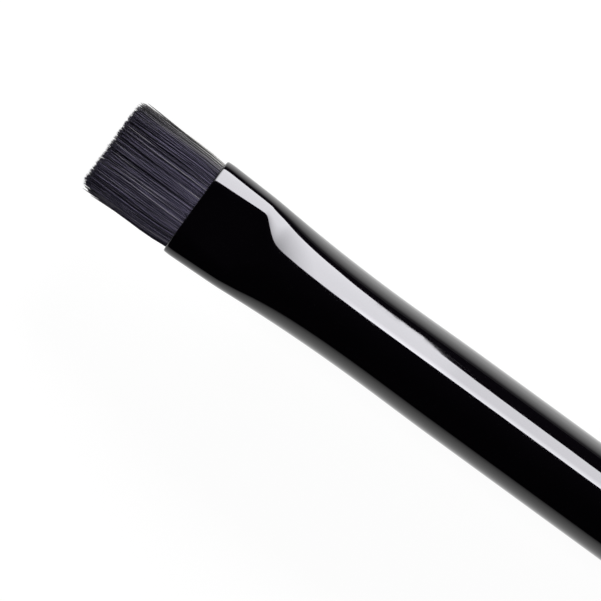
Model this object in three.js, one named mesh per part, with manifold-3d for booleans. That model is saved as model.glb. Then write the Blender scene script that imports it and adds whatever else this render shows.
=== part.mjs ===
// Flat eyebrow brush: a turned wooden handle, a ferrule pressed flat at its mouth, and a square-cut tuft.
// Millimetres, +Z up. The brush lies along X with its bristles towards -X and its flat faces up and down.
// The origin is under the middle of its length, level with the lowest line of the handle's belly.
// A station is a distance along the brush from the ferrule's mouth, positive towards the tail.

import * as THREE from 'three';
import { mergeGeometries } from 'three/addons/utils/BufferGeometryUtils.js';
import Module from 'manifold-3d';

const wasm = await Module();
wasm.setup();

// Tuft of filaments
const TUFT_FREE_LENGTH = 7.1; // from the ferrule's mouth to the tips
const TUFT_TIP_WIDTH = 7.0;
const TUFT_TIP_THICKNESS = 2.0;
const TUFT_ROOT_THICKNESS = 2.15; // in the ferrule's mouth
const TIP_UNEVENNESS = 0.16; // how much shorter the shortest filament is
const STRAND_PITCH = 0.175;
const STRAND_RADIUS = 0.072;
const STRAND_TIP_RADIUS = 0.045;
const STRAND_POINT = 0.12; // length of each filament's tapered point
const STRAND_SIDES = 3;
const ROOT_SLICE = 0.5; // slice of set filaments that carries the strands, in the mouth
const FLEX_ANGLE = 25; // degrees that the tuft bends to either side

// Ferrule, outside sizes
const FERRULE_LENGTH = 37;
const FERRULE_WALL = 0.22;
const MOUTH_WIDTH = 7.4;
const PAD_END_WIDTH = 7.13; // where the pressed flat ends
const PAD_THICKNESS = 3.1;
const PAD_LENGTH = 4.25;
const FLAT_MOUTH_WIDTH = 3.2; // the level part of the pad, at the mouth
const FLAT_END_WIDTH = 4.1; // and where the pad ends
const FLAT_FADE = 1.5; // length over which the flat runs out into the swelling tube
const WAIST_STATION = 15; // where the tube is round and at its narrowest
const WAIST_DIAMETER = 6.25;
const FLARE_LENGTH = 6.5; // from the waist to the full tube
const TUBE_DIAMETER = 6.36;
const NARROWING_EASE = 2; // power of the curve from the flat's width to the waist's
const SWELLING_EASE = 4; // power of the curve from the flat's thickness to the waist's

// Root of the tuft, inside the ferrule
const TIED_DIAMETER = 4.4; // the bundle where the thread binds it
const TIE_STATION = 8.6;
const TIE_WIDTH = 1.2;
const TIE_THICKNESS = 0.3;
const ROOT_STUB = 0.5; // filaments left standing behind the tie
const PLUG_LENGTH = 3.2;

// Handle
const HANDLE_SHOWN_LENGTH = 124; // from the ferrule's end to the tail
const TENON_LENGTH = 13;
const TENON_CHAMFER = 0.6;
const GLUE_FILM = 0.2;
const BELLY_DIAMETER = 7.8;
const BELLY_DISTANCE = 24; // from the ferrule's end
const TAPER_HOLD = 30; // how far behind the belly its line would run on before the taper takes over
const TAIL_DIAMETER = 4.6;
const TAIL_ROUNDING = 1.1;

// Clearances
const FIT_GAP = 0.05; // between pieces that are seated in each other
const TUFT_GAP = 0.1; // between the loose filaments and the ferrule

// Facets
const SIDES = 32; // round each section of the brush
const CURVE_STEPS = 8; // along each curve of the handle
const SHOULDER_STEPS = 6; // along the ferrule from the flat to the waist
const FADE_STEPS = 3; // along the end of the flat
const FLARE_STEPS = 3;
const TUFT_CORNER = 3; // power of the tuft's rounded section: 2 is an ellipse, higher is squarer

// Places that follow from the sizes
const FULL_TUBE_STATION = WAIST_STATION + FLARE_LENGTH;
const TAIL_STATION = FERRULE_LENGTH + HANDLE_SHOWN_LENGTH;
const TENON_STATION = FERRULE_LENGTH - TENON_LENGTH;
const PIVOT_STATION = ROOT_SLICE / 2;
const ROOT_END = TIE_STATION + TIE_WIDTH + ROOT_STUB;
const PLUG_STATION = ROOT_END + FIT_GAP;
const BORE_RADIUS = TUBE_DIAMETER / 2 - FERRULE_WALL;
const GLUE_OUTER_RADIUS = BORE_RADIUS - FIT_GAP;
const GLUE_INNER_RADIUS = GLUE_OUTER_RADIUS - GLUE_FILM;
const TENON_RADIUS = GLUE_INNER_RADIUS - FIT_GAP;

// A section is a polygon with flats at top, bottom and sides, and the flats have the stated size.
const HALF_FACET = Math.PI / SIDES;
const CORNER_OUT = 1 / Math.cos(HALF_FACET);

const { lerp, inverseLerp, clamp, smoothstep, degToRad } = THREE.MathUtils;

// 0 to 1, quick at first and level at the end
function easeOut(share, power) {
  return 1 - (1 - share) ** power;
}

// Evenly spaced stations after start, up to and including end
function stationsTo(start, end, steps) {
  return Array.from({ length: steps }, (_, k) => lerp(start, end, (k + 1) / steps));
}

// One ring of an oval section: two half ellipses joined by straight flats of a given half length
function ovalRing(station, { halfWidth, halfThickness, flatHalf }) {
  return Array.from({ length: SIDES }, (_, k) => {
    const angle = (2 * k + 1) * HALF_FACET;
    const side = Math.sign(Math.cos(angle));
    const y = side * flatHalf + (halfWidth - flatHalf) * CORNER_OUT * Math.cos(angle);
    return new THREE.Vector3(station, y, halfThickness * CORNER_OUT * Math.sin(angle));
  });
}

// A closed skin over rings with equal numbers of points. Ends are closed by a fan to their middle, which tip
// moves outwards at the first ring. A loop of rings, such as a tube's outside and inside, joins up instead.
function skin(rings, { loop = false, tip = 0 } = {}) {
  const count = rings[0].length;
  const points = rings.flat();
  const faces = [];
  const bands = loop ? rings.length : rings.length - 1;
  for (let r = 0; r < bands; r += 1) {
    const here = r * count;
    const next = ((r + 1) % rings.length) * count;
    for (let k = 0; k < count; k += 1) {
      const after = (k + 1) % count;
      faces.push(here + k, here + after, next + k);
      faces.push(here + after, next + after, next + k);
    }
  }
  if (!loop) {
    const middle = (ring) => ring.reduce((sum, p) => sum.add(p), new THREE.Vector3()).divideScalar(count);
    const first = points.push(middle(rings[0]).add(new THREE.Vector3(-tip, 0, 0))) - 1;
    const last = points.push(middle(rings.at(-1))) - 1;
    const lastRing = (rings.length - 1) * count;
    for (let k = 0; k < count; k += 1) {
      const after = (k + 1) % count;
      faces.push(first, after, k);
      faces.push(last, lastRing + k, lastRing + after);
    }
  }
  return new THREE.BufferGeometry().setFromPoints(points).setIndex(faces);
}

// A solid of revolution about the brush's axis. The profile's points are (radius, station).
function turned(profile) {
  const geometry = new THREE.LatheGeometry(profile, SIDES, HALF_FACET);
  return geometry.rotateZ(-Math.PI / 2).scale(1, CORNER_OUT, CORNER_OUT);
}

// A turned ring with square edges, from station 0
function turnedRing(innerRadius, outerRadius, width) {
  return turned([
    new THREE.Vector2(innerRadius, 0),
    new THREE.Vector2(outerRadius, 0),
    new THREE.Vector2(outerRadius, width),
    new THREE.Vector2(innerRadius, width),
    new THREE.Vector2(innerRadius, 0),
  ]);
}

// Half sizes of the ferrule's outside. The pressed pad is a flat with round edges, and behind it the tube
// swells in thickness and narrows in width until it is round at the waist.
function ferruleSection(station) {
  const waist = WAIST_DIAMETER / 2;
  if (station <= PAD_LENGTH) {
    const share = station / PAD_LENGTH;
    return {
      halfWidth: lerp(MOUTH_WIDTH, PAD_END_WIDTH, share) / 2,
      halfThickness: PAD_THICKNESS / 2,
      flatHalf: lerp(FLAT_MOUTH_WIDTH, FLAT_END_WIDTH, share) / 2,
    };
  }
  if (station <= WAIST_STATION) {
    const share = inverseLerp(PAD_LENGTH, WAIST_STATION, station);
    const faded = clamp((station - PAD_LENGTH) / FLAT_FADE, 0, 1);
    return {
      halfWidth: lerp(PAD_END_WIDTH / 2, waist, easeOut(share, NARROWING_EASE)),
      halfThickness: lerp(PAD_THICKNESS / 2, waist, easeOut(share, SWELLING_EASE)),
      flatHalf: lerp(FLAT_END_WIDTH / 2, 0, faded),
    };
  }
  const flare = smoothstep(station, WAIST_STATION, FULL_TUBE_STATION);
  const radius = lerp(waist, TUBE_DIAMETER / 2, flare);
  return { halfWidth: radius, halfThickness: radius, flatHalf: 0 };
}

// The ferrule's outside drawn in by a wall or a gap
function ferruleInset(station, inset) {
  const { halfWidth, halfThickness, flatHalf } = ferruleSection(station);
  return { halfWidth: halfWidth - inset, halfThickness: halfThickness - inset, flatHalf };
}

const FERRULE_STATIONS = [
  0,
  PAD_LENGTH,
  ...stationsTo(PAD_LENGTH, PAD_LENGTH + FLAT_FADE, FADE_STEPS),
  ...stationsTo(PAD_LENGTH + FLAT_FADE, WAIST_STATION, SHOULDER_STEPS),
  ...stationsTo(WAIST_STATION, FULL_TUBE_STATION, FLARE_STEPS),
  FERRULE_LENGTH,
];

// The ferrule's own stations that lie inside a stretch, with its two ends
function stationsWithin(start, end) {
  return [start, ...FERRULE_STATIONS.filter((station) => station > start && station < end), end];
}

// Ferrule: a tube of even wall, open at both ends
function ferruleGeometry() {
  const outside = FERRULE_STATIONS.map((station) => ovalRing(station, ferruleSection(station)));
  const inside = FERRULE_STATIONS.map((station) => ovalRing(station, ferruleInset(station, FERRULE_WALL)));
  return skin([...outside, ...inside.reverse()], { loop: true });
}

// Half sizes of the tuft in the ferrule's mouth, and the reach of its outermost strands there and at the tips
const TUFT_ROOT_HALF_WIDTH = MOUTH_WIDTH / 2 - FERRULE_WALL - TUFT_GAP;
const TUFT_ROOT_HALF_THICKNESS = TUFT_ROOT_THICKNESS / 2;
const ROOT_REACH_Y = TUFT_ROOT_HALF_WIDTH - 2 * STRAND_RADIUS;
const ROOT_REACH_Z = TUFT_ROOT_HALF_THICKNESS - 2 * STRAND_RADIUS;
const TIP_REACH_Y = TUFT_TIP_WIDTH / 2 - STRAND_TIP_RADIUS;
const TIP_REACH_Z = TUFT_TIP_THICKNESS / 2 - STRAND_TIP_RADIUS;

// The slice in the mouth: a rounded oblong, which stays inside the bore when the tuft bends
function sliceGeometry() {
  const ring = (station) => Array.from({ length: SIDES }, (_, k) => {
    const angle = (2 * k + 1) * HALF_FACET;
    const bend = (value) => Math.sign(value) * Math.abs(value) ** (2 / TUFT_CORNER);
    const y = TUFT_ROOT_HALF_WIDTH * bend(Math.cos(angle));
    return new THREE.Vector3(station, y, TUFT_ROOT_HALF_THICKNESS * bend(Math.sin(angle)));
  });
  return skin([ring(0), ring(ROOT_SLICE)]);
}

// Places of the strands in staggered rows over the slice, as shares of the outermost strands' reach
function strandPlaces() {
  const columns = Math.floor(ROOT_REACH_Y / STRAND_PITCH);
  const rows = Math.floor(ROOT_REACH_Z / (STRAND_PITCH * Math.sin(degToRad(60))));
  const places = [];
  for (let row = -rows; row <= rows; row += 1) {
    const stagger = row % 2 === 0 ? 0 : 0.5;
    for (let column = -columns - 1; column <= columns; column += 1) {
      const across = (column + stagger) / columns;
      const deep = row / rows;
      if (Math.abs(across) ** TUFT_CORNER + Math.abs(deep) ** TUFT_CORNER <= 1) places.push({ across, deep });
    }
  }
  return places;
}

// A number from 0 to 1 that looks random and is the same each time
function scatter(index) {
  const step = 12.9898;
  const gain = 43758.5453;
  const wave = Math.sin((index + 1) * step) * gain;
  return wave - Math.floor(wave);
}

// One straight strand, from inside the slice to its pointed tip. Tips keep the order of the roots, so
// strands spread in width and close up in thickness without crossing.
function strandGeometry({ across, deep }, index) {
  const turn = 2 * Math.PI * scatter(index + 0.5);
  const ring = (station, reachY, reachZ, radius) => Array.from({ length: STRAND_SIDES }, (_, k) => {
    const angle = turn + (2 * Math.PI * k) / STRAND_SIDES;
    const y = across * reachY + radius * Math.cos(angle);
    return new THREE.Vector3(station, y, deep * reachZ + radius * Math.sin(angle));
  });
  const tipStation = -TUFT_FREE_LENGTH + STRAND_POINT + TIP_UNEVENNESS * scatter(index);
  const tip = ring(tipStation, TIP_REACH_Y, TIP_REACH_Z, STRAND_TIP_RADIUS);
  const root = ring(ROOT_SLICE / 2, ROOT_REACH_Y, ROOT_REACH_Z, STRAND_RADIUS);
  return skin([tip, root], { tip: STRAND_POINT });
}

// A closed indexed skin as a solid that can be joined
function solidOf(geometry) {
  const vertProperties = new Float32Array(geometry.getAttribute('position').array);
  const triVerts = new Uint32Array(geometry.getIndex().array);
  return new wasm.Manifold(new wasm.Mesh({ numProp: 3, vertProperties, triVerts }));
}

function geometryOf(solid) {
  const { vertProperties, triVerts } = solid.getMesh();
  const geometry = new THREE.BufferGeometry();
  geometry.setAttribute('position', new THREE.BufferAttribute(vertProperties, 3));
  return geometry.setIndex(new THREE.BufferAttribute(triVerts, 1));
}

// Tuft: every strand joined to the slice in the mouth
function tuftGeometry() {
  const strands = mergeGeometries(strandPlaces().map(strandGeometry));
  return geometryOf(solidOf(sliceGeometry()).add(solidOf(strands)));
}

// Root: the bundle fills the pressed mouth, and is drawn together to a round where the thread binds it.
// It starts far enough behind the slice to let the tuft bend.
function rootGeometry() {
  const swing = degToRad(FLEX_ANGLE);
  const sliceReach = (ROOT_SLICE / 2) * Math.cos(swing) + TUFT_ROOT_HALF_THICKNESS * Math.sin(swing);
  const start = PIVOT_STATION + sliceReach + TUFT_GAP;
  const tied = TIED_DIAMETER / 2;
  const widest = ferruleInset(start, FERRULE_WALL + FIT_GAP).halfWidth;
  const section = (station) => {
    const share = Math.min(1, (station - start) / (TIE_STATION - start));
    const room = ferruleInset(station, FERRULE_WALL + FIT_GAP);
    const halfThickness = Math.min(tied, room.halfThickness);
    return { halfWidth: lerp(widest, tied, share), halfThickness, flatHalf: room.flatHalf };
  };
  const stations = [...stationsWithin(start, TIE_STATION), ROOT_END];
  return skin(stations.map((station) => ovalRing(station, section(station))));
}

// Epoxy plug: fills the ferrule's bore behind the root
function plugGeometry() {
  const stations = stationsWithin(PLUG_STATION, PLUG_STATION + PLUG_LENGTH);
  return skin(stations.map((station) => ovalRing(station, ferruleInset(station, FERRULE_WALL + FIT_GAP))));
}

// Handle: a tenon, a square shoulder flush with the ferrule, a belly and a long taper to a rounded tail
function handleGeometry() {
  const shoulder = TUBE_DIAMETER / 2;
  const shoulderStation = FERRULE_LENGTH + FIT_GAP;
  const belly = BELLY_DIAMETER / 2;
  const bellyStation = FERRULE_LENGTH + BELLY_DISTANCE;
  const tail = TAIL_DIAMETER / 2;
  const profile = new THREE.Path();
  profile.moveTo(0, TENON_STATION);
  profile.lineTo(TENON_RADIUS - TENON_CHAMFER, TENON_STATION);
  profile.lineTo(TENON_RADIUS, TENON_STATION + TENON_CHAMFER);
  profile.lineTo(TENON_RADIUS, shoulderStation);
  profile.lineTo(shoulder, shoulderStation);
  const swell = (bellyStation - shoulderStation) / 2;
  profile.bezierCurveTo(shoulder, shoulderStation + swell, belly, bellyStation - swell, belly, bellyStation);
  profile.quadraticCurveTo(belly, bellyStation + TAPER_HOLD, tail, TAIL_STATION - TAIL_ROUNDING);
  profile.quadraticCurveTo(tail, TAIL_STATION, tail - TAIL_ROUNDING, TAIL_STATION);
  profile.lineTo(0, TAIL_STATION);
  return turned(profile.getPoints(CURVE_STEPS));
}

// Finishes
const BLACK_LACQUER = { color: '#0a090c', roughness: 0.12, metalness: 0 };
const FINISHES = {
  handle: BLACK_LACQUER,
  ferrule: BLACK_LACQUER,
  bristle_tuft: { color: '#32303a', roughness: 0.5, metalness: 0 },
  bristle_root: { color: '#2b2932', roughness: 0.55, metalness: 0 },
  root_tie: { color: '#d9d2c0', roughness: 0.9, metalness: 0 },
  epoxy_plug: { color: '#c8a45a', roughness: 0.3, metalness: 0 },
  handle_glue: { color: '#e6dcb8', roughness: 0.45, metalness: 0 },
};

function piece(name, geometry, station = 0) {
  const mesh = new THREE.Mesh(geometry, new THREE.MeshStandardMaterial(FINISHES[name]));
  mesh.name = name;
  mesh.position.x = station;
  return mesh;
}

// The tied bundle and what holds it in the ferrule
const head = new THREE.Group();
head.add(
  piece('bristle_tuft', tuftGeometry()),
  piece('bristle_root', rootGeometry()),
  piece('root_tie', turnedRing(
    TIED_DIAMETER / 2 + FIT_GAP,
    TIED_DIAMETER / 2 + FIT_GAP + TIE_THICKNESS,
    TIE_WIDTH,
  ), TIE_STATION),
  piece('epoxy_plug', plugGeometry()),
  piece('ferrule', ferruleGeometry()),
);

const stick = new THREE.Group();
stick.add(
  piece('handle', handleGeometry()),
  piece('handle_glue', turnedRing(
    GLUE_INNER_RADIUS,
    GLUE_OUTER_RADIUS,
    TENON_LENGTH - TENON_CHAMFER - FIT_GAP,
  ), TENON_STATION + TENON_CHAMFER),
);

const brush = new THREE.Group();
brush.add(head, stick);
brush.position.set((TUFT_FREE_LENGTH - TAIL_STATION) / 2, 0, BELLY_DIAMETER / 2);

export default brush;
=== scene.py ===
# %% [markdown]
# # A flat eyebrow brush
#
# The real brush is three things that a hand meets: a tuft of dark filaments cut square, a black ferrule
# that is pressed flat at its mouth, and a long lacquered handle. Inside the ferrule a thread, a plug of
# resin and a film of glue hold them together.
#
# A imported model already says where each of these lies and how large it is. Its solids could just be
# painted, but they are faceted, and gloss lacquer shows every facet. So the model stays as a fixed
# frame, and a fine surface is built round each piece that shows.

# %% Load the frame
import math

import bpy
import numpy as np
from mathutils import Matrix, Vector


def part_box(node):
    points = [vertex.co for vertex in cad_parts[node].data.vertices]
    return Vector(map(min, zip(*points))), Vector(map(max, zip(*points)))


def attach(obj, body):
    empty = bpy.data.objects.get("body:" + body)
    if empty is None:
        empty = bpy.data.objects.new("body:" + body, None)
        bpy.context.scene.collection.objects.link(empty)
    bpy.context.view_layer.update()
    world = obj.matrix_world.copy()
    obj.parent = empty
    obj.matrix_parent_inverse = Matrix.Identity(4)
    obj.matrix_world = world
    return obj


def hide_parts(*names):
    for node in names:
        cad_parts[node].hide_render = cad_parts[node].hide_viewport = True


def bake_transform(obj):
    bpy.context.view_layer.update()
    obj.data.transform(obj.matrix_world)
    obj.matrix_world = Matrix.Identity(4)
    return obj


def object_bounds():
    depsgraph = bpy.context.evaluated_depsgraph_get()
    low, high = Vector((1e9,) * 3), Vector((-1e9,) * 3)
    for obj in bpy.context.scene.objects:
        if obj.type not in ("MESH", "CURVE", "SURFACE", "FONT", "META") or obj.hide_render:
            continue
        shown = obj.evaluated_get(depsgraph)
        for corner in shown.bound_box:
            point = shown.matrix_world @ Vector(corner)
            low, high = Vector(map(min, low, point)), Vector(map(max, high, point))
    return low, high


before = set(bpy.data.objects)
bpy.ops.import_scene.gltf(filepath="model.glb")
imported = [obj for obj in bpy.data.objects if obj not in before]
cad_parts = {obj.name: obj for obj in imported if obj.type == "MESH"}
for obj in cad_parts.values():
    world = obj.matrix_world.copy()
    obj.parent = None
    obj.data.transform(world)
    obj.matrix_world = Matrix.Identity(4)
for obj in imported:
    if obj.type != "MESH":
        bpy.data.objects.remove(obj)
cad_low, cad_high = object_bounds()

MM = 0.001
print("nodes:", sorted(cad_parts))
print("solid model, mm:", [round(side / MM, 2) for side in cad_high - cad_low])

# %% [markdown]
# ## Where things lie
#
# The brush lies along X, bristles towards -X, with its flat faces up and down. A brush maker measures
# from the ferrule's mouth, so every place below is a station: millimetres behind the mouth, negative
# out along the bristles. The mouth, the axis and the lengths are read off the frame's boxes and not
# typed in again, so that the pieces fit whatever the frame holds.

# %% Places read off the frame
ferrule_low, ferrule_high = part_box("ferrule")
handle_low, handle_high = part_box("handle")
glue_low, glue_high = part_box("handle_glue")
tuft_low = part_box("bristle_tuft")[0]

mouth_x = ferrule_low.x
axis_z = (ferrule_low.z + ferrule_high.z) / 2
mouth_middle = np.array((mouth_x, 0.0, axis_z))


def station_of(x):
    """Millimetres behind the ferrule's mouth."""
    return (x - mouth_x) / MM


ferrule_length = station_of(ferrule_high.x)
tail_station = station_of(handle_high.x)
tenon_station = station_of(handle_low.x)
free_length = -station_of(tuft_low.x)
mouth_width = (ferrule_high.y - ferrule_low.y) / MM
tube_diameter = (ferrule_high.z - ferrule_low.z) / MM
tube_radius = tube_diameter / 2
belly_diameter = (handle_high.z - handle_low.z) / MM
print(f"ferrule {ferrule_length:.2f} long, {mouth_width:.2f} wide, tube {tube_diameter:.2f}")
print(f"tuft {free_length:.2f} free, tail at {tail_station:.2f}, belly {belly_diameter:.2f}")

# %% [markdown]
# ## Colours and nodes
#
# Colours are easiest to compare as the hex values that a screen shows, but Blender's sockets hold
# linear light. One function turns the first into the second. A second one adds a shader node with its
# settings and its links, so that each material below reads as a short list of what feeds what. A socket
# goes by its name, or by its number where names repeat: a Mix node takes its two colours at 6 and 7 and
# gives one at 2.


# %% Helpers for materials
def linear(hex_colour):
    """An sRGB hex colour as the linear RGBA that a socket holds."""
    shares = [int(hex_colour[k:k + 2], 16) / 255 for k in (1, 3, 5)]
    return (*(s / 12.92 if s <= 0.04045 else ((s + 0.055) / 1.055) ** 2.4 for s in shares), 1.0)


def add_node(tree, kind, inputs=None, **settings):
    """Add a node. An input is a value, or a pair (node, output) to link from."""
    node = tree.nodes.new("ShaderNode" + kind)
    for name, value in settings.items():
        setattr(node, name, value)
    for socket, value in (inputs or {}).items():
        if isinstance(value, tuple) and isinstance(value[0], bpy.types.Node):
            tree.links.new(value[0].outputs[value[1]], node.inputs[socket])
        else:
            node.inputs[socket].default_value = value
    return node


def empty_material(name):
    """A new material and its node tree, with nothing in the tree yet."""
    material = bpy.data.materials.new(name)
    material.use_nodes = True
    material.node_tree.nodes.clear()
    return material, material.node_tree


print("lacquer black as linear light:", [round(c, 4) for c in linear("#050406")])

# %% [markdown]
# ## The camera
#
# The photograph looks straight down on the flat of the ferrule: the mouth's line is square to the brush
# and neither flat edge is nearer. It could be an orthographic camera, but a long lens has the same flat
# look and still behaves in other views. The brush runs down to the right at 36.1 degrees, and one
# millimetre is 15.07 pixels.

# %% Camera over the ferrule
IMAGE_SIDE = 601
PIXELS_PER_MM = 15.07
MOUTH_PIXEL = (195.5, 205.7)
BRUSH_TILT = math.radians(36.1)
HALF_VIEW_ANGLE = math.radians(1.8)

right = Vector((math.cos(BRUSH_TILT), math.sin(BRUSH_TILT), 0))
up = Vector((-math.sin(BRUSH_TILT), math.cos(BRUSH_TILT), 0))
mouth_from_middle = [(pixel - IMAGE_SIDE / 2) / PIXELS_PER_MM * MM for pixel in MOUTH_PIXEL]
aim = Vector(mouth_middle) - right * mouth_from_middle[0] + up * mouth_from_middle[1]
camera_height = IMAGE_SIDE / 2 / PIXELS_PER_MM * MM / math.tan(HALF_VIEW_ANGLE)

camera = bpy.data.objects.new("camera", bpy.data.cameras.new("camera"))
camera.data.angle = 2 * HALF_VIEW_ANGLE
camera.location = aim + Vector((0, 0, camera_height))
camera.rotation_euler = (0, 0, BRUSH_TILT)
bpy.context.scene.collection.objects.link(camera)
bpy.context.scene.camera = camera
bpy.context.scene.view_settings.view_transform = "Standard"
print(f"camera {camera_height:.3f} m up, over station {station_of(aim.x):.2f}")
print(f"lens {camera.data.lens:.0f} mm")

# %% [markdown]
# ## The floor
#
# The photograph's ground is pure white. A white floor lit hard enough to clip would also wash out the
# brush, so most of this floor's white is its own glow, which only the camera and mirror-like rays meet.
# Its material is made in two steps: first what the lacquer mirrors of it, then what the camera sees.
#
# In the lacquer the glow changes across the table. It is brightest on the lamp's side of the brush and
# fades away from there, which gives the soft grey rims along both sides of the brush. An even glow
# would be simpler, but with it the rims grow brighter right up to the edge.

# %% Glow of the table in reflections
TABLE_GLOW = 1.74  # where the table is brightest
TABLE_BRIGHT_MM = 10.0  # how far across the table from the brush that is
TABLE_HALVING_MM = 23.0  # how far from there the glow is down to half
TABLE_END_MM = (14.0, 66.0)  # on the lamp's side the lit part also comes to an end
TABLE_END_SHARE = 0.1

floor_paint, tree = empty_material("matt white floor paint")
place = add_node(tree, "TexCoord")
split = add_node(tree, "SeparateXYZ", {0: (place, "Object")})
from_bright = add_node(tree, "Math", {0: (split, "Y"), 1: TABLE_BRIGHT_MM * MM}, operation="SUBTRACT")
off_bright = add_node(tree, "Math", {0: (from_bright, 0)}, operation="ABSOLUTE")
halvings = add_node(tree, "Math", {
    0: (off_bright, 0), 1: 1 / (TABLE_HALVING_MM * MM), 2: 1.0,
}, operation="MULTIPLY_ADD")
fading = add_node(tree, "Math", {0: TABLE_GLOW, 1: (halvings, 0)}, operation="DIVIDE")
ending = add_node(tree, "MapRange", {
    "Value": (split, "Y"), "From Min": TABLE_END_MM[0] * MM, "From Max": TABLE_END_MM[1] * MM,
    "To Min": 1.0, "To Max": TABLE_END_SHARE,
}, interpolation_type="SMOOTHSTEP")
table_glow = add_node(tree, "Math", {0: (fading, 0), 1: (ending, 0)}, operation="MULTIPLY")
print("in reflections the table glows most", TABLE_BRIGHT_MM, "mm from the brush")

# %% [markdown]
# For the camera the floor is matt white paint, even all over, with a soft shadow under the brush. A
# small share of the white is left to plain paint, which takes that shadow, and further out the glow
# takes over. Rays that carry soft light see ordinary paint, so the floor never acts as a lamp.

# %% Matt white floor paint
FLOOR_GLOW = 0.92  # near the brush
FLOOR_SHADOW_SHARE = 0.12  # the part of the white that the shadow can take away
SHADOW_REACH = (0.2, 0.4)  # metres from the brush's middle between which that part fades out

ray = add_node(tree, "LightPath")
mirrored = add_node(tree, "Math", {
    0: (ray, "Is Glossy Ray"), 1: (ray, "Is Transmission Ray"),
}, operation="MAXIMUM")
watched = add_node(tree, "Math", {0: (ray, "Is Camera Ray"), 1: (mirrored, 0)}, operation="MAXIMUM")
distance = add_node(tree, "VectorMath", {0: (place, "Object")}, operation="LENGTH")
far = add_node(tree, "MapRange", {
    "Value": (distance, "Value"), "From Min": SHADOW_REACH[0], "From Max": SHADOW_REACH[1],
}, interpolation_type="SMOOTHSTEP")
floor_glow = add_node(tree, "MapRange", {"Value": (far, 0), "To Min": FLOOR_GLOW, "To Max": 1.0})
strength = add_node(tree, "Mix", {
    "Factor": (ray, "Is Camera Ray"), "A": (table_glow, 0), "B": (floor_glow, 0),
}, data_type="FLOAT")
glow = add_node(tree, "Emission", {"Color": linear("#ffffff"), "Strength": (strength, 0)})
shadow_share = add_node(tree, "MapRange", {
    "Value": (far, 0), "To Min": FLOOR_SHADOW_SHARE, "To Max": 0.0,
})
shadow_tone = add_node(tree, "CombineColor", {k: (shadow_share, 0) for k in ("Red", "Green", "Blue")})
shaded = add_node(tree, "BsdfDiffuse", {"Color": (shadow_tone, 0)})
seen_floor = add_node(tree, "AddShader", {0: (glow, 0), 1: (shaded, 0)})
paint = add_node(tree, "BsdfDiffuse", {"Color": linear("#e8e8e8")})
either = add_node(tree, "MixShader", {"Fac": (watched, 0), 1: (paint, 0), 2: (seen_floor, 0)})
add_node(tree, "OutputMaterial", {"Surface": (either, 0)})
print("material:", floor_paint.name)

# %% [markdown]
# A backdrop that curves up behind the brush is the usual way, but seen from above a flat floor does the
# same. It is large enough to fill a view taken from close to its own level.

# %% White studio floor
FLOOR_HALF = 12.0
FLOOR_TURNS = ((-1, -1), (1, -1), (1, 1), (-1, 1))

floor_mesh = bpy.data.meshes.new("floor")
floor_corners = [(x * FLOOR_HALF, y * FLOOR_HALF, cad_low.z) for x, y in FLOOR_TURNS]
floor_mesh.from_pydata(floor_corners, [], [(0, 1, 2, 3)])
floor_mesh.materials.append(floor_paint)
floor = bpy.data.objects.new("floor", floor_mesh)
bpy.context.scene.collection.objects.link(floor)
print(f"floor at z {cad_low.z:.4f}, {2 * FLOOR_HALF:.0f} m square")

# %% [markdown]
# ## The light
#
# Two kinds of light are kept apart. A broad key lamp, low on the +Y side, rakes across the filaments so
# that they show one by one, and a broad overhead lamp fills in. Together they give a level at which a
# colour comes out about as it is written, and both are left out of reflections. What the lacquer
# mirrors is one long white card, hidden from everything but reflections: its clean edges make the band
# that runs down the ferrule. The room behind is nearly black, so the lacquer stays black.

# %% Soft lamps and a dark room
KEY_ZENITH = math.radians(76)
KEY_DISTANCE = 0.7  # metres, as all places and sizes of lamps
KEY_SIZE = (0.5, 0.3)
KEY_WATTS = 10.6
OVERHEAD_PLACE = Vector((0, -0.12, 0.9))  # over the brush, a little to the side away from the key lamp
OVERHEAD_SIZE = (0.8, 0.8)
OVERHEAD_WATTS = 4.7

lit_place = Vector((aim.x, 0, axis_z))
key_way = Vector((0, math.sin(KEY_ZENITH), math.cos(KEY_ZENITH)))


def soft_lamp(name, place, size, watts):
    """A rectangular area lamp that faces the brush and stays out of reflections."""
    lamp = bpy.data.objects.new(name, bpy.data.lights.new(name, "AREA"))
    lamp.data.shape = "RECTANGLE"
    lamp.data.size, lamp.data.size_y = size
    lamp.data.energy = watts
    lamp.location = place
    lamp.rotation_euler = (lit_place - place).to_track_quat("-Z", "Y").to_euler()
    lamp.visible_glossy = False
    lamp.visible_camera = False
    bpy.context.scene.collection.objects.link(lamp)


soft_lamp("key_lamp", lit_place + key_way * KEY_DISTANCE, KEY_SIZE, KEY_WATTS)
soft_lamp("overhead_lamp", lit_place + OVERHEAD_PLACE, OVERHEAD_SIZE, OVERHEAD_WATTS)

room = bpy.data.worlds.new("dark room")
room.use_nodes = True
room.node_tree.nodes["Background"].inputs["Color"].default_value = linear("#0b0b0d")
bpy.context.scene.world = room
print("lamps:", KEY_WATTS, "W key,", OVERHEAD_WATTS, "W overhead")

# %% [markdown]
# The card is worked out from the band it leaves. A round surface at a slope of t degrees mirrors what
# lies 2t degrees from straight up. The band runs from 11.8 to 38.5 degrees of slope, so the card spans
# 23.6 to 77 degrees. Its far edge is cut back towards the tail, which narrows the band there.

# %% Outline of the white card
CARD_DISTANCE = 150.0
CARD_NEAR_ZENITH = 23.6
CARD_FAR_ZENITH = 77.0
CARD_FAR_EDGE = (  # station and zenith along the far edge, from head to tail
    (-240, CARD_FAR_ZENITH), (6, CARD_FAR_ZENITH), (15.7, 74.0), (18.4, 61.3),
    (27, 58.0), (42, 56.4), (58, 40.0), (330, 38.0),
)

card_zenith = math.radians((CARD_NEAR_ZENITH + CARD_FAR_ZENITH) / 2)
card_way = Vector((0, math.sin(card_zenith), math.cos(card_zenith)))


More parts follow.
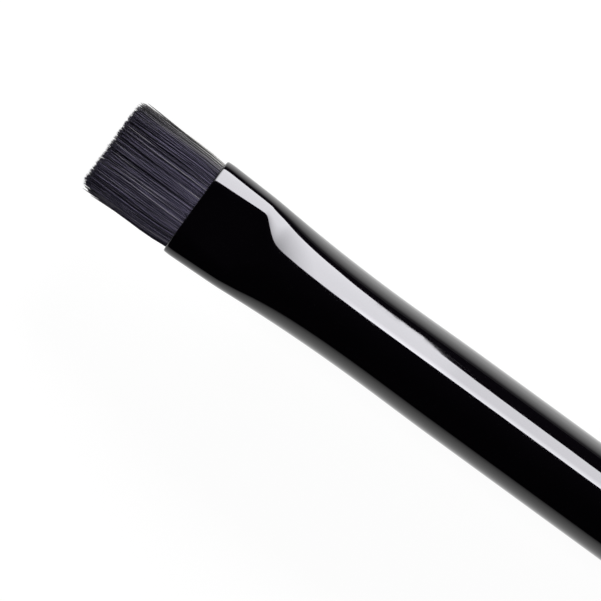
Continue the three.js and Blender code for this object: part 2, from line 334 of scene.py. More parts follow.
def across_card(zenith):
    """Metres up the card's own Y at which it is seen at a zenith angle from the brush."""
    return CARD_DISTANCE * math.tan(math.radians(zenith) - card_zenith) * MM


card_ends = CARD_FAR_EDGE[0][0], CARD_FAR_EDGE[-1][0]
card_outline = [(station, CARD_NEAR_ZENITH) for station in card_ends] + [*reversed(CARD_FAR_EDGE)]
card_corners = [(station * MM, across_card(zenith), 0) for station, zenith in card_outline]
print(f"card {card_ends[1] - card_ends[0]} mm long, {CARD_NEAR_ZENITH} to {CARD_FAR_ZENITH} degrees")

# %% [markdown]
# The card isn't evenly lit. It dims towards the bristles, which greys the band on the shoulder that
# leans that way. From the shoulder back its near edge is folded up towards the lamp and catches a
# little more light, and its tail end lies a little further from the lamp. A gradient image could say
# this, but a few nodes on the card's own coordinates stay sharp at any size.

# %% Lit white card
CARD_STRENGTH = 14.0
CARD_DIM_SHARE = 0.18  # what is left of that at the bristles' end
CARD_DIM_STATIONS = (-130, -15)
CARD_FOLD = 34.0  # width of the brighter near edge
CARD_FOLD_GAIN = 0.4
CARD_FOLD_STATIONS = (4, 17)  # where the fold starts and where it is full
CARD_TAIL_SHARE = 0.9
CARD_TAIL_STATIONS = (17, 23)

card_paper, tree = empty_material("lit white card")
place = add_node(tree, "TexCoord")
split = add_node(tree, "SeparateXYZ", {0: (place, "Object")})
dimming = add_node(tree, "MapRange", {
    "Value": (split, "X"), "From Min": CARD_DIM_STATIONS[0] * MM, "From Max": CARD_DIM_STATIONS[1] * MM,
    "To Min": CARD_STRENGTH * CARD_DIM_SHARE, "To Max": CARD_STRENGTH,
})
fold_start = across_card(CARD_NEAR_ZENITH)
fold = add_node(tree, "MapRange", {
    "Value": (split, "Y"), "From Min": fold_start, "From Max": fold_start + CARD_FOLD * MM,
    "To Min": CARD_FOLD_GAIN, "To Max": 0.0,
})
fold_share = add_node(tree, "MapRange", {
    "Value": (split, "X"), "From Min": CARD_FOLD_STATIONS[0] * MM, "From Max": CARD_FOLD_STATIONS[1] * MM,
}, interpolation_type="SMOOTHSTEP")
gain = add_node(tree, "Math", {0: (fold, 0), 1: (fold_share, 0), 2: 1.0}, operation="MULTIPLY_ADD")
tail_share = add_node(tree, "MapRange", {
    "Value": (split, "X"), "From Min": CARD_TAIL_STATIONS[0] * MM, "From Max": CARD_TAIL_STATIONS[1] * MM,
    "To Min": 1.0, "To Max": CARD_TAIL_SHARE,
}, interpolation_type="SMOOTHSTEP")
over_length = add_node(tree, "Math", {0: (dimming, 0), 1: (tail_share, 0)}, operation="MULTIPLY")
brightness = add_node(tree, "Math", {0: (over_length, 0), 1: (gain, 0)}, operation="MULTIPLY")
lit_card = add_node(tree, "Emission", {"Color": linear("#faf9ff"), "Strength": (brightness, 0)})
add_node(tree, "OutputMaterial", {"Surface": (lit_card, 0)})
print("material:", card_paper.name)

# %% [markdown]
# The card itself is one flat face. An area lamp could glow in its place, but a lamp has no free outline
# and no shading across it, and a mesh has both. It is switched off for every kind of ray but
# reflections, so it lights nothing and shades nothing.


# %% White card in the studio
def mirrored_sheet(name, corners, material):
    """A flat sheet in the studio that nothing but reflections can see."""
    mesh = bpy.data.meshes.new(name)
    mesh.from_pydata(corners, [], [tuple(range(len(corners)))])
    mesh.materials.append(material)
    sheet = bpy.data.objects.new(name, mesh)
    sheet.visible_camera = False
    sheet.visible_diffuse = False
    sheet.visible_transmission = False
    sheet.visible_shadow = False
    bpy.context.scene.collection.objects.link(sheet)
    return sheet


card = mirrored_sheet("card", card_corners, card_paper)
card.location = Vector(mouth_middle) + card_way * CARD_DISTANCE * MM
card.rotation_euler = (-card_zenith, 0, 0)
print("card stands", CARD_DISTANCE, "mm from the mouth")

# %% [markdown]
# Seen from the side, the card's image would run up to the handle's upper edge, and that edge would be
# lost against the white ground. A photographer sets a black flag there, and so does this scene: a strip
# of matt black cloth stands beside the handle, which mirrors it as a dark line along that edge. On the
# photographed stretch its top stays under the line from the ferrule to the card's far edge, so that it
# takes nothing from the band there.

# %% Black flag beside the handle
FLAG_OFFSET = 14.0
FLAG_EDGE = (  # station and zenith along its upper edge
    (19, 80.0), (24, 64.0), (36, 60.0), (60, 42.0), (200, 42.0),
)

flag_cloth, tree = empty_material("black flag cloth")
dark_cloth = add_node(tree, "BsdfDiffuse", {"Color": linear("#050505")})
add_node(tree, "OutputMaterial", {"Surface": (dark_cloth, 0)})

flag_ends = FLAG_EDGE[-1][0], FLAG_EDGE[0][0]
flag_points = [(station, FLAG_OFFSET, tube_radius) for station in flag_ends]
for station, zenith in FLAG_EDGE:
    flag_points.append((station, FLAG_OFFSET, tube_radius + FLAG_OFFSET / math.tan(math.radians(zenith))))
flag = mirrored_sheet("flag", (np.array(flag_points) * MM + mouth_middle).tolist(), flag_cloth)
print(f"flag from station {flag_ends[1]} to {flag_ends[0]}, {FLAG_OFFSET} mm beside the axis")

# %% [markdown]
# ## One way to skin a long piece
#
# Both the ferrule and the handle are long pieces whose section changes along the way. A lathe would do
# for the handle but not for the pressed ferrule, so both are skinned over rings: each ring is an oval
# of two half ellipses joined by flats, with its points spread evenly round it so that the faces stay
# regular where the oval turns round.

# %% Rings
RING_SIDES = 144
RING_SAMPLES = 20  # how many measured points each side of a ring gets, to space the sides evenly


def oval_ring(station, half_width, half_thickness, flat_half=0.0, count=RING_SIDES):
    """Points round an oval, evenly spaced, in mm as (station, y, z) from the mouth's middle."""
    angle = np.linspace(0, 2 * math.pi, RING_SAMPLES * count + 1)
    y = np.sign(np.cos(angle)) * flat_half + (half_width - flat_half) * np.cos(angle)
    z = half_thickness * np.sin(angle)
    walked = np.concatenate(([0], np.cumsum(np.hypot(np.diff(y), np.diff(z)))))
    stops = np.linspace(0, walked[-1], count, endpoint=False)
    stations = np.full(count, station)
    return np.column_stack((stations, np.interp(stops, walked, y), np.interp(stops, walked, z)))


print("first points of a round ring, 3 mm in radius:", oval_ring(0, 3, 3)[:2].round(3).tolist())

# %% [markdown]
# A skin joins each ring to the next with four-sided faces. Bridging edge loops in Edit Mode does the
# same by hand, but written out it works for any number of rings, and for the filaments later on.


# %% Skins
def ring_faces(rings, loop=False):
    """Quads between neighbouring rings. A loop joins the last ring to the first, others get end caps."""
    count = len(rings[0])
    bands = len(rings) if loop else len(rings) - 1
    faces = []
    for band in range(bands):
        here, there = band * count, (band + 1) % len(rings) * count
        for k in range(count):
            after = (k + 1) % count
            faces.append((here + k, here + after, there + after, there + k))
    if not loop:
        last = (len(rings) - 1) * count
        faces.append(tuple(range(count - 1, -1, -1)))
        faces.append(tuple(range(last, last + count)))
    return faces


def add_piece(name, points, faces, material):
    """A smooth mesh object from points in mm about the mouth, with one material."""
    mesh = bpy.data.meshes.new(name)
    mesh.from_pydata((points * MM + mouth_middle).tolist(), [], faces)
    mesh.shade_smooth()
    mesh.materials.append(material)
    piece = bpy.data.objects.new(name, mesh)
    bpy.context.scene.collection.objects.link(piece)
    return piece


print("faces of a stub of two rings with its caps:", len(ring_faces([oval_ring(k, 3, 3) for k in (0, 1)])))

# %% [markdown]
# ## Black lacquer on the ferrule
#
# The ferrule is drawn aluminium, sprayed with black gloss lacquer and baked. Lacquer is a clear resin
# full of black pigment, so the eye gets almost no colour from it: what shows is the room mirrored in
# its surface, faintly from straight on and strongly near the edges, which the index of refraction gives
# by itself. Sprayed lacquer is not quite flat. A very shallow ripple a millimetre or so across, called
# orange peel, softens straight reflections, and wiping leaves faint hairlines that change the gloss a
# little from place to place. An image of scratches would do as well, but noise stretched along the
# brush needs no unwrapping.

# %% Baked black lacquer on drawn aluminium
LACQUER_IOR = 1.58
ORANGE_PEEL_MM = 1.1
HAIRLINE_MM = 0.16  # real ones are about 0.01 mm wide, and these are drawn coarser so that they show
HAIRLINE_STRETCH = (0.06, 1, 1)  # they run along the brush
HANDLING_MM = 4.0  # patches that fingers have dulled
WEAR_RANGE = (0.12, 0.42)  # what both noises multiplied lie between


def black_lacquer(name, hex_dark, hex_light, gloss, peel_depth_mm):
    """Black gloss lacquer. Gloss is the roughness where it is cleanest and where it is handled most."""
    material, tree = empty_material(name)
    place = add_node(tree, "TexCoord")
    along = add_node(tree, "Mapping", {"Vector": (place, "Object"), "Scale": HAIRLINE_STRETCH})
    handled = add_node(tree, "TexNoise", {
        "Vector": (place, "Object"), "Scale": 1 / (HANDLING_MM * MM), "Detail": 3.0, "Roughness": 0.55,
    })
    hairlines = add_node(tree, "TexNoise", {
        "Vector": (along, 0), "Scale": 1 / (HAIRLINE_MM * MM), "Detail": 2.0, "Roughness": 0.6,
    })
    wear = add_node(tree, "Math", {0: (handled, 0), 1: (hairlines, 0)}, operation="MULTIPLY")
    roughness = add_node(tree, "MapRange", {
        "Value": (wear, 0), "From Min": WEAR_RANGE[0], "From Max": WEAR_RANGE[1],
        "To Min": gloss[0], "To Max": gloss[1],
    })
    shade = add_node(tree, "Mix", {
        "Factor": (handled, 0), 6: linear(hex_dark), 7: linear(hex_light),
    }, data_type="RGBA")
    peel = add_node(tree, "TexNoise", {
        "Vector": (place, "Object"), "Scale": 1 / (ORANGE_PEEL_MM * MM), "Detail": 1.0, "Roughness": 0.4,
    })
    ripple = add_node(tree, "Bump", {
        "Height": (peel, 0), "Distance": peel_depth_mm * MM, "Strength": 1.0,
    })
    lacquer = add_node(tree, "BsdfPrincipled", {
        "Base Color": (shade, 2), "Roughness": (roughness, 0), "IOR": LACQUER_IOR, "Normal": (ripple, 0),
    })
    add_node(tree, "OutputMaterial", {"Surface": (lacquer, 0)})
    return material


ferrule_lacquer = black_lacquer(
    "baked black lacquer on drawn aluminium", "#030204", "#050406",
    gloss=(0.03, 0.07), peel_depth_mm=0.0016,
)
print("material:", ferrule_lacquer.name)

# %% [markdown]
# ## The ferrule
#
# A ferrule starts as a round tube. A press closes its mouth to a flat pad with round edges, and behind
# the pad the tube swells back to round over a centimetre, with a crease where the press tool ended.
# That could be sculpted, but a formula for the half sizes along the tube holds the frame's sizes
# exactly. It needs three small helpers: one goes softly from 0 to 1, one mixes two sizes, and one
# rounds a crease with a hyperbola.


# %% Soft steps and rounded creases
def smooth_share(value, start, end):
    """0 before start, 1 after end, level at both."""
    share = min(1, max(0, (value - start) / (end - start)))
    return share * share * (3 - 2 * share)


def mix(a, b, share):
    """From a at share 0 to b at share 1."""
    return a + (b - a) * share


def rounded_start(value, rounding):
    """0 while value is below 0 and then value itself, with the corner rounded off."""
    return (value + math.hypot(value, rounding)) / 2


print("a soft step a quarter of the way:", smooth_share(0.25, 0, 1))

# %% [markdown]
# Towards the mouth the pad grows a little wider, while its level part grows narrower. Behind the crease
# the tube narrows to a waist as it grows thicker, and then flares a tenth of a millimetre to its full
# diameter. At the very mouth the sides are drawn in a little, where the rim was rolled.

# %% Ferrule half sizes along the tube
PAD_END_WIDTH = 7.13
PAD_THICKNESS = 3.1
PAD_LENGTH = 4.25
FLAT_MOUTH_WIDTH = 3.2
FLAT_END_WIDTH = 4.1
FLAT_FADE = 1.35  # how far behind the pad the flat is gone
FLAT_FADE_ROUNDING = (0.2, 0.5)  # how softly that starts and ends
CREASE_ROUNDING = 0.25
NARROWING_EASE = 2
SWELLING_EASE = 4  # the thickness grows sooner than the width shrinks
WAIST_STATION = 15.0
WAIST_DIAMETER = 6.25
FLARE_LENGTH = 6.5
RIM_DRAWN_IN = 0.05
RIM_LENGTH = 0.7

flare_end = WAIST_STATION + FLARE_LENGTH


def ferrule_half_sizes(station):
    """Half width, half thickness and half length of the flat, outside, in mm."""
    past_pad = station - PAD_LENGTH
    on_pad = min(1, station / PAD_LENGTH)
    to_waist = min(1, rounded_start(past_pad, CREASE_ROUNDING) / (WAIST_STATION - PAD_LENGTH))
    flared = smooth_share(station, WAIST_STATION, flare_end) * (tube_diameter - WAIST_DIAMETER)
    faded = rounded_start(past_pad, FLAT_FADE_ROUNDING[0])
    faded -= rounded_start(past_pad - FLAT_FADE, FLAT_FADE_ROUNDING[1])
    drawn_in = RIM_DRAWN_IN * max(0, 1 - station / RIM_LENGTH) ** 2
    narrowed = (WAIST_DIAMETER - PAD_END_WIDTH) * (1 - (1 - to_waist) ** NARROWING_EASE)
    swollen = (WAIST_DIAMETER - PAD_THICKNESS) * (1 - (1 - to_waist) ** SWELLING_EASE)
    width = mix(mouth_width, PAD_END_WIDTH, on_pad) + narrowed + flared
    thickness = PAD_THICKNESS + swollen + flared
    flat = mix(FLAT_MOUTH_WIDTH, FLAT_END_WIDTH, on_pad) * max(0, 1 - faded / FLAT_FADE)
    return width / 2 - drawn_in, thickness / 2, flat / 2


for station in (0, PAD_LENGTH, WAIST_STATION, ferrule_length):
    print(f"station {station:5.2f}: half sizes", [round(size, 3) for size in ferrule_half_sizes(station)])

# %% [markdown]
# The tube's sheet is 0.22 mm thick, and a plain surface with a Solidify modifier would give it a sharp
# edge. Here one closed skin walks along the outside, round the tail's edge, back along the inside and
# round the mouth's edge. Both edges are rolled over as half rounds, and the rings lie closest where the
# shape turns.

# %% Ferrule mesh
FERRULE_WALL = 0.22
RIM_STEPS = 8
PLAIN_STEP = 1.0
STRETCHES = (  # where a stretch of the outside ends, and how far apart its rings are, in mm
    (0.9, 0.08),
    (3.5, 0.26),
    (6.6, 0.07),
    (WAIST_STATION, 0.24),
    (flare_end, 0.4),
)


def ferrule_ring(station, inset):
    """A ring of the ferrule, so far inside its outer surface."""
    half_width, half_thickness, flat_half = ferrule_half_sizes(station)
    return oval_ring(station, half_width - inset, half_thickness - inset, flat_half)


def spaced(start, end, step):
    """Evenly spaced values after start, up to and including end."""
    steps = max(1, round(abs(end - start) / step))
    return [start + (end - start) * (k + 1) / steps for k in range(steps)]


rim = FERRULE_WALL / 2
turns = [math.pi * k / RIM_STEPS for k in range(RIM_STEPS + 1)]
mouth_rim = [(rim * (1 - math.sin(turn)), rim * (1 + math.cos(turn))) for turn in turns]
tail_rim = [(ferrule_length - rim * (1 - math.sin(turn)), rim * (1 - math.cos(turn))) for turn in turns]
outside = []
reached = rim
for end, step in (*STRETCHES, (ferrule_length - rim, PLAIN_STEP)):
    outside += spaced(reached, end, step)
    reached = end
inside = spaced(ferrule_length - rim, rim, PLAIN_STEP)
walk = mouth_rim + [(station, 0) for station in outside[:-1]] + tail_rim
walk += [(station, FERRULE_WALL) for station in inside[:-1]]

ferrule_rings = [ferrule_ring(station, inset) for station, inset in walk]
ferrule_faces = ring_faces(ferrule_rings, loop=True)
ferrule = add_piece("lacquered_ferrule", np.concatenate(ferrule_rings), ferrule_faces, ferrule_lacquer)
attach(ferrule, "stick")
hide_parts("ferrule")
print("ferrule:", len(ferrule_rings), "rings,", len(ferrule_faces), "faces")

# %% [markdown]
# ## Black lacquer on the handle
#
# The handle is a turned hardwood stick, sealed, dipped in black lacquer and drawn out slowly, then
# buffed. Dipping leaves deeper waves than spraying, and the wood's grain sinks a little as it dries, so
# faint lines run along the stick. It is the same resin as on the ferrule, so the same function makes
# it, a shade softer in gloss and with a deeper ripple.

# %% Dipped black lacquer on turned hardwood
handle_lacquer = black_lacquer(
    "dipped black lacquer on turned hardwood", "#040305", "#070608",
    gloss=(0.05, 0.10), peel_depth_mm=0.003,
)
print("material:", handle_lacquer.name)

# %% [markdown]
# ## The handle
#
# On a lathe the maker cuts a tenon for the ferrule, a shoulder flush with it, a soft belly where the
# fingers hold, and a long taper to a rounded tail. Its outline could be drawn by hand as a Bezier
# curve. Here the same kind of curve is worked out between a few named places, so that it follows the
# frame's sizes.

# %% Profile of the handle
TENON_CHAMFER = 0.6
GLUE_FILM = 0.2
FIT_GAP = 0.05
SHOULDER_ROUNDING = 0.12
SHOULDER_STEPS = 5
BELLY_DISTANCE = 24.0
BELLY_STEPS = 36
TAPER_HOLD = 30.0
TAPER_STEPS = 60
TAIL_DIAMETER = 4.6
TAIL_ROUNDING = 1.1
TAIL_STEPS = 14


def curve(*controls, steps):
    """Points after the first on a Bezier curve with 3 or 4 controls, as (station, radius)."""
    points = []
    for k in range(1, steps + 1):
        level = [np.array(point, float) for point in controls]
        while len(level) > 1:
            level = [a + (b - a) * k / steps for a, b in zip(level, level[1:])]
        points.append(tuple(level[0]))
    return points


tenon_radius = (glue_high.z - glue_low.z) / MM / 2 - GLUE_FILM - FIT_GAP
shoulder = ferrule_length + FIT_GAP
shoulder_end = shoulder + SHOULDER_ROUNDING
belly_station = ferrule_length + BELLY_DISTANCE
belly_radius = belly_diameter / 2
swell = (belly_station - shoulder) / 2
tail_radius = TAIL_DIAMETER / 2
tail_turn = tail_station - TAIL_ROUNDING

profile = [(tenon_station, tenon_radius - TENON_CHAMFER), (tenon_station + TENON_CHAMFER, tenon_radius)]
profile += [(shoulder, tenon_radius), (shoulder, tube_radius - SHOULDER_ROUNDING)]
profile += curve(
    profile[-1], (shoulder, tube_radius), (shoulder_end, tube_radius), steps=SHOULDER_STEPS,
)
profile += curve(
    profile[-1], (shoulder + swell, tube_radius), (belly_station - swell, belly_radius),
    (belly_station, belly_radius), steps=BELLY_STEPS,
)
profile += curve(
    profile[-1], (belly_station + TAPER_HOLD, belly_radius), (tail_turn, tail_radius), steps=TAPER_STEPS,
)
profile += curve(
    profile[-1], (tail_station, tail_radius), (tail_station, tail_radius - TAIL_ROUNDING),
    steps=TAIL_STEPS,
)
print("profile:", len(profile), "points, tenon radius", round(tenon_radius, 3))

# %% [markdown]
# A Screw modifier would turn this outline into a stick. The skin that made the ferrule does it too,
# with one round ring for each point, and the mesh is then plain, closed and ready for export.

# %% Handle mesh
HANDLE_SIDES = 112

handle_rings = [oval_ring(station, radius, radius, count=HANDLE_SIDES) for station, radius in profile]
handle_faces = ring_faces(handle_rings)
handle = add_piece("lacquered_handle", np.concatenate(handle_rings), handle_faces, handle_lacquer)
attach(handle, "stick")
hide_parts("handle")
print("handle:", len(handle_rings), "rings,", len(handle_faces), "faces")

# %% [markdown]
# ## Satin synthetic filaments
#
# The bristles are PBT, a nylon-like plastic, drawn through fine holes and dyed a slate grey with a
# breath of violet. A drawn filament is round and slightly satin, so each carries its own thin line of
# light, and a tuft reads as fine streaks: some filaments lie higher or took more dye than their
# neighbours. Along the +Y side, which faces the key lamp, a paler plain grey is painted into the colour
# as painted light. The ground tips are thinner, and towards them the colour is painted darker as
# painted shade. A hair shader would serve hair curves, but on a mesh three attributes carry this: a
# tone for each filament, its share of the painted side light, and how far along it a point lies.

# %% Drawn and dyed PBT filaments
SLATE_TONE = 0.35  # below it a filament goes to near black, and above it to pale grey
PALE_TONE = 0.75
TIP_PAINTED_SHADE = 0.66  # painted shade: how far a tip goes over to the dark colour
SATIN = (0.55, 0.42)  # roughness of dark and of pale filaments
PBT_IOR = 1.53
PBT_SPECULAR = 0.12  # low, because filaments shade each other's highlights more than these few can

filament_plastic, tree = empty_material("drawn and dyed PBT filaments")
tone = add_node(tree, "Attribute", attribute_name="filament_tone")
reach = add_node(tree, "Attribute", attribute_name="filament_reach")
painted_side_light_share = add_node(tree, "Attribute", attribute_name="filament_painted_side_light")
slate_share = add_node(tree, "MapRange", {"Value": (tone, "Fac"), "From Max": SLATE_TONE})
pale_share = add_node(tree, "MapRange", {
    "Value": (tone, "Fac"), "From Min": SLATE_TONE, "From Max": PALE_TONE,
})
slate = add_node(tree, "Mix", {
    "Factor": (slate_share, 0), 6: linear("#0c0a13"), 7: linear("#4b475a"),
}, data_type="RGBA")
dyed = add_node(tree, "Mix", {
    "Factor": (pale_share, 0), 6: (slate, 2), 7: linear("#858386"),
}, data_type="RGBA")
# painted light: a pale plain grey mixed in along the +Y side, which faces the key lamp
with_painted_side_light = add_node(tree, "Mix", {
    "Factor": (painted_side_light_share, "Fac"), 6: (dyed, 2), 7: linear("#8e8d8b"),
}, data_type="RGBA")
# painted shade: the colour goes darker towards the tips
painted_tip_shade_share = add_node(tree, "MapRange", {"Value": (reach, "Fac"), "To Min": 0.0, "To Max": TIP_PAINTED_SHADE})
with_painted_tip_shade = add_node(tree, "Mix", {
    "Factor": (painted_tip_shade_share, 0), 6: (with_painted_side_light, 2), 7: linear("#110f17"),
}, data_type="RGBA")
satin = add_node(tree, "MapRange", {"Value": (tone, "Fac"), "To Min": SATIN[0], "To Max": SATIN[1]})
filament_bsdf = add_node(tree, "BsdfPrincipled", {
    "Base Color": (with_painted_tip_shade, 2), "Roughness": (satin, 0), "IOR": PBT_IOR,
    "Specular IOR Level": PBT_SPECULAR,
})
add_node(tree, "OutputMaterial", {"Surface": (filament_bsdf, 0)})
print("material:", filament_plastic.name)

# %% [markdown]
# ## The tuft
#
# Some two thousand filaments fill the flattened mouth. Hair curves would be the quick way, but the tuft
# has to be a mesh that can be bent and exported, so each filament is a thin five-sided tube, 0.08 mm
# across as in a real brow brush. They stand in staggered rows in the mouth's oval, a little fewer along
# its two sides. All draws come from one seeded generator, so that the tuft is the same every time.

# %% Places of the filaments in the mouth
FILAMENT_RADIUS = 0.04
FILAMENT_PITCH = 0.088
ROOT_SCATTER = 0.03
SPARSE_EDGE = 0.4  # width along each side where the bundle thins out
SPARSE_SHARE = 0.7  # share of the filaments that is missing at the very side
TUFT_SEED = 14

draw = np.random.default_rng(TUFT_SEED)
root_reach_y = mouth_width / 2 - FERRULE_WALL - RIM_DRAWN_IN - FILAMENT_RADIUS
root_reach_z = PAD_THICKNESS / 2 - FERRULE_WALL - FILAMENT_RADIUS
flat_reach = FLAT_MOUTH_WIDTH / 2
row_pitch = FILAMENT_PITCH * math.sin(math.radians(60))
rows = int(root_reach_z / row_pitch)
columns = int(root_reach_y / FILAMENT_PITCH) + 1
roots = []
for row in range(-rows, rows + 1):
    for column in range(-columns, columns + 1):
        y = (column + 0.5 * (row % 2)) * FILAMENT_PITCH
        z = row * row_pitch
        past_flat = max(0, abs(y) - flat_reach) / (root_reach_y - flat_reach)
        if math.hypot(past_flat, z / root_reach_z) <= 1:
            roots.append((y, z))
roots = np.array(roots)
at_side = np.clip(1 - (root_reach_y - np.abs(roots[:, 0])) / SPARSE_EDGE, 0, 1)
roots = roots[draw.random(len(roots)) >= at_side * SPARSE_SHARE]
roots += draw.uniform(-ROOT_SCATTER, ROOT_SCATTER, roots.shape)
count = len(roots)
print(count, "filaments in", 2 * rows + 1, "rows")

# %% [markdown]
# Just outside the mouth the filaments spread to the tuft's own width and draw in to its own thickness.
# At the tips, neighbours cling to each other in small locks, as hairs do. Clumping on a hair system
# does this by itself. Here each filament belongs to the lock whose cell its tip falls in, and leans
# over to its middle.

# %% Locks at the tips
TUFT_TIP_WIDTH = 7.0
TUFT_TIP_THICKNESS = 2.0
SIDE_FRAY = 0.03  # how far the outermost filaments stand out beyond the tuft's width
LOCK_SIZE = (0.42, 0.5)  # across the tuft and through it
LOCK_SCATTER = 0.25  # share of its size by which a lock is off its place
LOCK_SHORTENING = 0.08
LOCK_PULL = (0.0, 0.4)
LEAN = 0.08

tip_reach_y = TUFT_TIP_WIDTH / 2 + SIDE_FRAY - FILAMENT_RADIUS
tip_reach_z = TUFT_TIP_THICKNESS / 2 - FILAMENT_RADIUS
spread = roots * (tip_reach_y / root_reach_y, tip_reach_z / root_reach_z)
lock_of = np.floor(spread / LOCK_SIZE + 0.5).astype(int)
locks, lock_index = np.unique(lock_of, axis=0, return_inverse=True)
lock_index = lock_index.ravel()
lock_middles = (locks + draw.uniform(-LOCK_SCATTER, LOCK_SCATTER, locks.shape)) * LOCK_SIZE
lock_shortening = draw.uniform(0, LOCK_SHORTENING, len(locks))
pull = draw.uniform(*LOCK_PULL, (count, 1))
tips = mix(spread, lock_middles[lock_index], pull) + draw.normal(0, LEAN, (count, 2))
tips = np.clip(tips, (-tip_reach_y, -tip_reach_z), (tip_reach_y, tip_reach_z))
print(len(locks), "locks")

# %% [markdown]
# The tuft is cut square, but a used one is no longer sharp: locks end at slightly different lengths,
# single filaments lag behind, and the corners wear round, the one that leads the stroke more than the
# other.

# %% Lengths after the cut
CUT_DEPTH = 0.2  # how far behind the longest tip most filaments end
CUT_SCATTER = 0.12
CORNER_WIDTH = 0.8
CORNER_SHORTENING = (0.8, 0.25)  # on the -Y side, which leads the stroke, and on the +Y side
CORNER_WEAR = (0.45, 1.4)  # what share of that a single filament at the corner has lost

behind_cut = np.maximum(0, draw.normal(CUT_DEPTH, CUT_SCATTER, count))
lengths = free_length - lock_shortening[lock_index] - behind_cut
corner = np.clip(1 - (tip_reach_y - np.abs(spread[:, 0])) / CORNER_WIDTH, 0, 1)
worn = np.where(spread[:, 0] < 0, *CORNER_SHORTENING)
lengths -= worn * corner ** 2 * draw.uniform(*CORNER_WEAR, count)
print("filaments from", round(lengths.min(), 2), "to", round(lengths.max(), 2), "mm long")

# %% [markdown]
# No filament is quite straight, and no two took the same dye. Most are dark and a few are pale, and the
# ones in a lock are a little alike. Along the +Y side, which faces the key lamp, a paler plain grey is
# painted into the colour as painted light.

# %% Waves and tones
BOW = 0.03
WAVE = 0.035
TONE_SPREAD = (0.8, 3.2)
LOCK_TONE_SHARE = 0.15
# painted light along the +Y side: how wide it is, how steeply it grows and how strong it is
PAINTED_LIGHT_MARGIN = 0.85
PAINTED_LIGHT_RISE = 1.5  # how steeply the painted light grows towards the very side
PAINTED_LIGHT_SPREAD = (0.7, 2.2)  # more so in filaments that are pale by themselves

bows = draw.normal(0, BOW, (count, 1, 2))
waves = draw.normal(0, WAVE, (count, 1, 2))
wave_starts = draw.uniform(0, 2 * math.pi, (count, 1, 2))
own_tones = draw.beta(*TONE_SPREAD, count)
lock_tones = draw.beta(*TONE_SPREAD, len(locks))
tones = mix(own_tones, lock_tones[lock_index], LOCK_TONE_SHARE)
# painted light: paler towards the +Y side, which faces the key lamp
painted_side_light = np.clip(1 - (tip_reach_y - spread[:, 0]) / PAINTED_LIGHT_MARGIN, 0, 1) ** PAINTED_LIGHT_RISE
painted_side_light *= mix(*PAINTED_LIGHT_SPREAD, own_tones)
print(f"mean tone {tones.mean():.2f},", np.count_nonzero(painted_side_light), "filaments in the pale margin")

# %% [markdown]
# A few hairs at the sides have sprung loose. They stand out by a tenth of a millimetre or so, and end
# early.

# %% Stray hairs
STRAYS = 16
STRAY_CHOICE = 6  # they are picked from so many times their number of outermost filaments
STRAY_LEAN = (0.02, 0.16)
STRAY_SHORTENING = (0.05, 0.4)

outermost = np.argsort(-np.abs(roots[:, 0]))[:STRAY_CHOICE * STRAYS]
strays = draw.choice(outermost, STRAYS, replace=False)
tips[strays, 0] += np.sign(roots[strays, 0]) * draw.uniform(*STRAY_LEAN, STRAYS)
lengths[strays] -= draw.uniform(*STRAY_SHORTENING, STRAYS)
print(STRAYS, "stray hairs out of", len(outermost), "along the sides")

# %% [markdown]
# Each filament is a row of rings along its middle line: one set back in the ferrule, one at the mouth,
# and seven more out to the tip, closer and thinner where it is ground to a point. A loop over the
# filaments would be slow in Python, so whole arrays are worked out at once: one row for each filament,
# one column for each ring.

# %% Middle lines of the filaments
SET_IN_FERRULE = 1.0
SPRING_POWER = 8  # how soon outside the mouth the filaments reach the tuft's own width and thickness
GATHER_POWER = 1.8  # how late they gather into locks
FILAMENT_RINGS = (  # share of the free length, and of the full radius
    (0, 1), (0, 1), (0.17, 1), (0.34, 1), (0.51, 1), (0.68, 0.97), (0.84, 0.9), (0.95, 0.65), (1, 0.2),
)

share, taper = np.array(FILAMENT_RINGS).T
ring_station = -lengths[:, None] * share
ring_station[:, 0] = SET_IN_FERRULE
springing = (1 - (1 - share) ** SPRING_POWER)[:, None]
gathering = (share ** GATHER_POWER)[:, None]
along = share[:, None]
middles = roots[:, None] + (spread - roots)[:, None] * springing + (tips - spread)[:, None] * gathering
middles += bows * np.sin(math.pi * along) + waves * along * np.sin(2 * math.pi * along + wave_starts)
print("middle lines:", len(middles), "filaments with", len(share), "rings each")

# %% [markdown]
# Five sides are enough for a tube this thin, because smooth shading rounds it and the eye sees it only
# as a line. Every tube is turned at random about its own line, so that their sides don't catch the
# light together. A Curve to Mesh node could sweep the tubes, but these arrays already hold all that the
# mesh needs.

# %% Tuft mesh
FILAMENT_SIDES = 5

corner_turns = np.arange(FILAMENT_SIDES) * 2 * math.pi / FILAMENT_SIDES
turn = draw.uniform(0, 2 * math.pi, (count, 1, 1)) + corner_turns
radius = (taper * FILAMENT_RADIUS)[:, None]
y = middles[:, :, None, 0] + radius * np.cos(turn)
z = middles[:, :, None, 1] + radius * np.sin(turn)
points = np.stack((np.broadcast_to(ring_station[:, :, None], y.shape), y, z), axis=-1)
points = points[:, ::-1]  # tip first, so that the faces look outwards

per_filament = len(FILAMENT_RINGS) * FILAMENT_SIDES
one_filament = ring_faces(points[0])
faces = []
for first in range(0, count * per_filament, per_filament):
    faces += [tuple(first + k for k in face) for face in one_filament]

tuft = add_piece("bristle_filaments", points.reshape(-1, 3), faces, filament_plastic)
print("tuft:", len(tuft.data.vertices), "points,", len(tuft.data.polygons), "faces")

# %% [markdown]
# The material reads its three values from the mesh's points. They could be painted as vertex colours,
# but plain attributes with names of their own say what each one means.

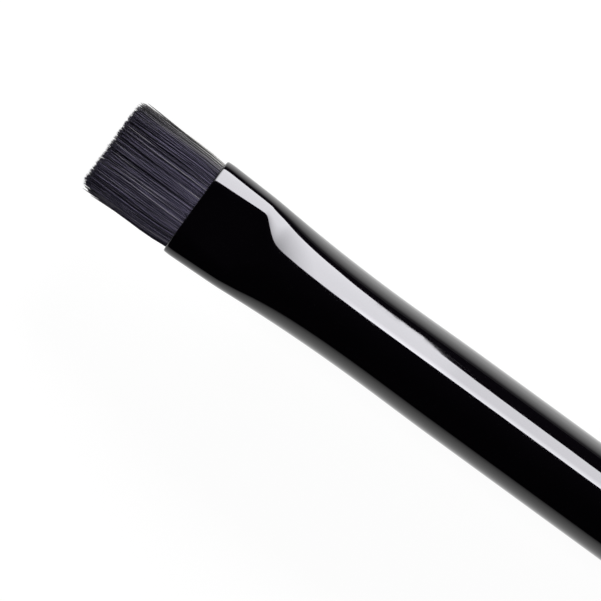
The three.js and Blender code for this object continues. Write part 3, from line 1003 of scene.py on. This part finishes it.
# %% Tones on the tuft's points
point_values = {
    "filament_tone": np.repeat(tones, per_filament),
    "filament_reach": np.tile(np.repeat(share[::-1], FILAMENT_SIDES), count),
    "filament_painted_side_light": np.repeat(painted_side_light, per_filament),
}
for name, values in point_values.items():
    attribute = tuft.data.attributes.new(name, "FLOAT", "POINT")
    attribute.data.foreach_set("value", values.astype(np.float32))
    print(f"{name}: {values.min():.2f} to {values.max():.2f}")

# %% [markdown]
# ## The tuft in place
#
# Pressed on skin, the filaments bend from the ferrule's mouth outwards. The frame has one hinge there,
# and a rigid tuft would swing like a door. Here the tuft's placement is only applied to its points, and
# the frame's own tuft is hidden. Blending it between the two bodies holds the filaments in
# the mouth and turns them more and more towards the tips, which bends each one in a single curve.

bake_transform(tuft)
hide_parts("bristle_tuft")

# %% [markdown]
# ## What the ferrule hides
#
# Four solids stay as the frame has them, because nothing shows of them unless the brush is taken apart.
# Each still gets its own finish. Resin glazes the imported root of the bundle, so its filaments show as
# satin streaks. The cotton thread that ties it is matt and fluffs, with its turns round the brush. The
# epoxy plug is cast, glossy and amber, a little cloudy, and the wood glue has set to a cream film with
# brush marks. One function makes all four, because each is two colours in streaks of some width and
# direction.


# %% Finishes inside the ferrule
def streaked(name, hex_dark, hex_light, streak_mm, stretch, roughness, ior, bump_mm):
    """A surface with streaks of two colours. A small stretch makes them long along that axis."""
    material, tree = empty_material(name)
    place = add_node(tree, "TexCoord")
    run = add_node(tree, "Mapping", {"Vector": (place, "Object"), "Scale": stretch})
    streaks = add_node(tree, "TexNoise", {
        "Vector": (run, 0), "Scale": 1 / (streak_mm * MM), "Detail": 3.0, "Roughness": 0.6,
    })
    shade = add_node(tree, "Mix", {
        "Factor": (streaks, 0), 6: linear(hex_dark), 7: linear(hex_light),
    }, data_type="RGBA")
    relief = add_node(tree, "Bump", {"Height": (streaks, 0), "Distance": bump_mm * MM})
    surface = add_node(tree, "BsdfPrincipled", {
        "Base Color": (shade, 2), "Roughness": roughness, "IOR": ior, "Normal": (relief, 0),
    })
    add_node(tree, "OutputMaterial", {"Surface": (surface, 0)})
    return material


inner_finishes = {
    # filaments are 0.08 mm thick, and the root's streaks are half as wide again so that they show
    "bristle_root": streaked(
        "resin-set PBT filaments", "#1c1a22", "#3a3842", streak_mm=0.12, stretch=(0.04, 1, 1),
        roughness=0.5, ior=PBT_IOR, bump_mm=0.03,
    ),
    "root_tie": streaked(
        "wound cotton thread", "#b8ad98", "#e6dfcf", streak_mm=0.25, stretch=(1, 0.05, 0.05),
        roughness=0.9, ior=1.5, bump_mm=0.06,
    ),
    "epoxy_plug": streaked(
        "cast amber epoxy", "#a97b2e", "#d3ac5c", streak_mm=1.2, stretch=(1, 1, 1),
        roughness=0.22, ior=1.55, bump_mm=0.01,
    ),
    "handle_glue": streaked(
        "set wood glue", "#d8cba0", "#efe6c6", streak_mm=0.8, stretch=(0.4, 1, 1),
        roughness=0.45, ior=1.48, bump_mm=0.02,
    ),
}
for node, finish in inner_finishes.items():
    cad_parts[node].data.materials.clear()
    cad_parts[node].data.materials.append(finish)
print("inner finishes:", sorted(inner_finishes))
